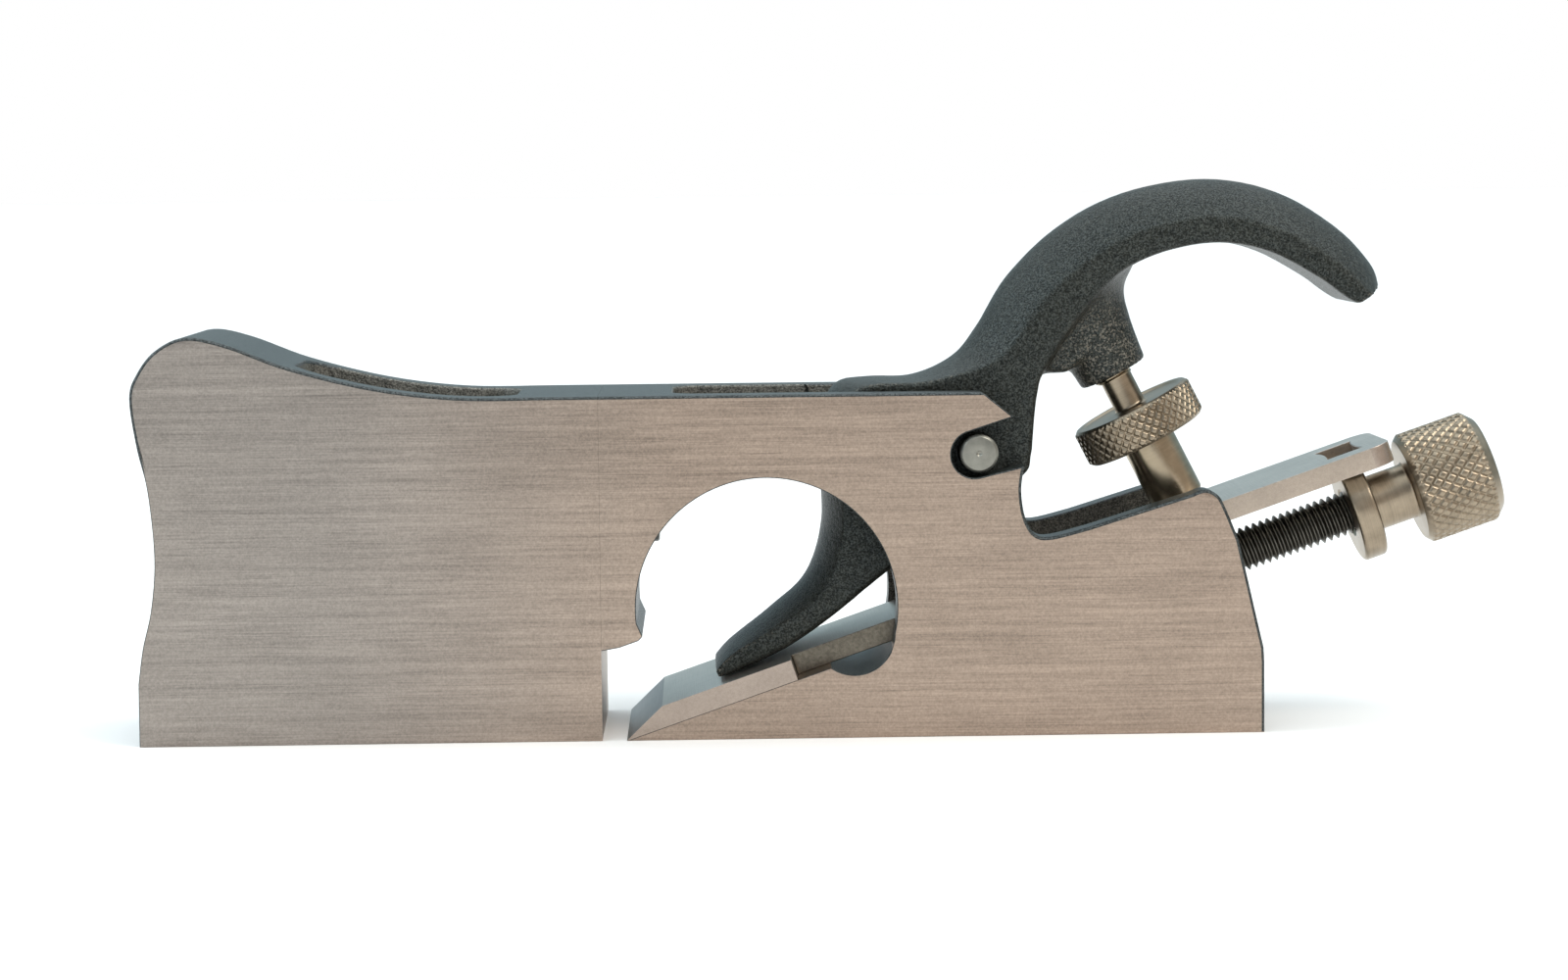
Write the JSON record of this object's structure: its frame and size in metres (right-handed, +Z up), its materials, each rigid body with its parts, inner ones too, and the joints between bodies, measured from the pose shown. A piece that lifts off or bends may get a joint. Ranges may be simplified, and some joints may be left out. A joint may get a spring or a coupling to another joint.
{
  "type": "hand plane",
  "caption": "Small metal three-in-one shoulder plane with a removable toe, a bevel-up blade, a screw adjuster and a hooked lever cap.",
  "frame": {"origin": "on the sole, under the middle of the bounding box", "axes": "+X from the toe to the heel and the adjuster knob, +Y across the body, +Z up from the sole"},
  "size_m": [0.1871, 0.0288, 0.0746],
  "materials": {
    "body_casting": "ground satin cheeks and sole, speckled blue-grey paint on top and inside",
    "toe_casting": "ground satin cheeks and sole, speckled blue-grey paint on top and front",
    "bright_steel": "bright turned steel",
    "black_oxide": "black oxide",
    "blade_steel": "surface ground",
    "satin_nickel": "satin nickel, diamond knurled grips",
    "lever_paint": "speckled blue-grey paint over a cast surface"
  },
  "bodies": {
    "root": {"main_body": "body_casting", "toe_dowel_near": "bright_steel", "toe_dowel_far": "bright_steel", "adjuster_stud": "black_oxide"},
    "toe": {"toe_piece": "toe_casting"},
    "toe_fixing": {"toe_screw": "black_oxide"},
    "cutter": {"blade": "blade_steel"},
    "nut": {"adjuster_nut": "satin_nickel"},
    "cross_pin": {"lever_pin": "bright_steel"},
    "lever": {"lever_cap": "lever_paint"},
    "thrust_foot": {"lever_screw_foot": "satin_nickel"},
    "thumb_screw": {"lever_screw": "satin_nickel"}
  },
  "joints": [
    {"name": "toe_screw_turn", "type": "hinge", "parent": "root", "child": "toe_fixing", "pos_m": [-0.0282, 0, 0.0298], "axis": [1, 0, 0], "range_deg": [0, 5401]},
    {"name": "toe_slide", "type": "slide", "parent": "root", "child": "toe", "axis": [-1, 0, 0], "range_m": [0, 0.012]},
    {"name": "blade_feed", "type": "slide", "parent": "root", "child": "cutter", "axis": [0.9455, 0, 0.3256], "range_m": [-0.0015, 0.006]},
    {"name": "adjuster_turn", "type": "hinge", "parent": "cutter", "child": "nut", "pos_m": [0.07357, 0, 0.02888], "axis": [0.9455, 0, 0.3256], "range_deg": [-541, 2161]},
    {"name": "pin_slide", "type": "slide", "parent": "root", "child": "cross_pin", "axis": [0.9455, 0, 0.3256], "range_m": [0, 0.007]},
    {"name": "lever_pivot", "type": "hinge", "parent": "cross_pin", "child": "lever", "pos_m": [0.02, 0, 0.0382], "axis": [0, 1, 0], "range_deg": [0, 7.6]},
    {"name": "foot_travel", "type": "slide", "parent": "lever", "child": "thrust_foot", "axis": [-0.454, 0, 0.891], "range_m": [0, 0.00351]},
    {"name": "lever_screw_turn", "type": "hinge", "parent": "thrust_foot", "child": "thumb_screw", "pos_m": [0.04304, 0, 0.0413], "axis": [-0.454, 0, 0.891], "range_deg": [0, 1260]}
  ],
  "couplings": [
    {"joint": "toe_screw_turn", "follows": "toe_slide", "rad_per_m": 7854},
    {"joint": "adjuster_turn", "follows": "blade_feed", "rad_per_m": 6283.2},
    {"joint": "foot_travel", "follows": "lever_screw_turn", "m_per_rad": 0.00015915},
    {"joint": "lever_pivot", "follows": "lever_screw_turn", "ratio": 0.006}
  ]
}
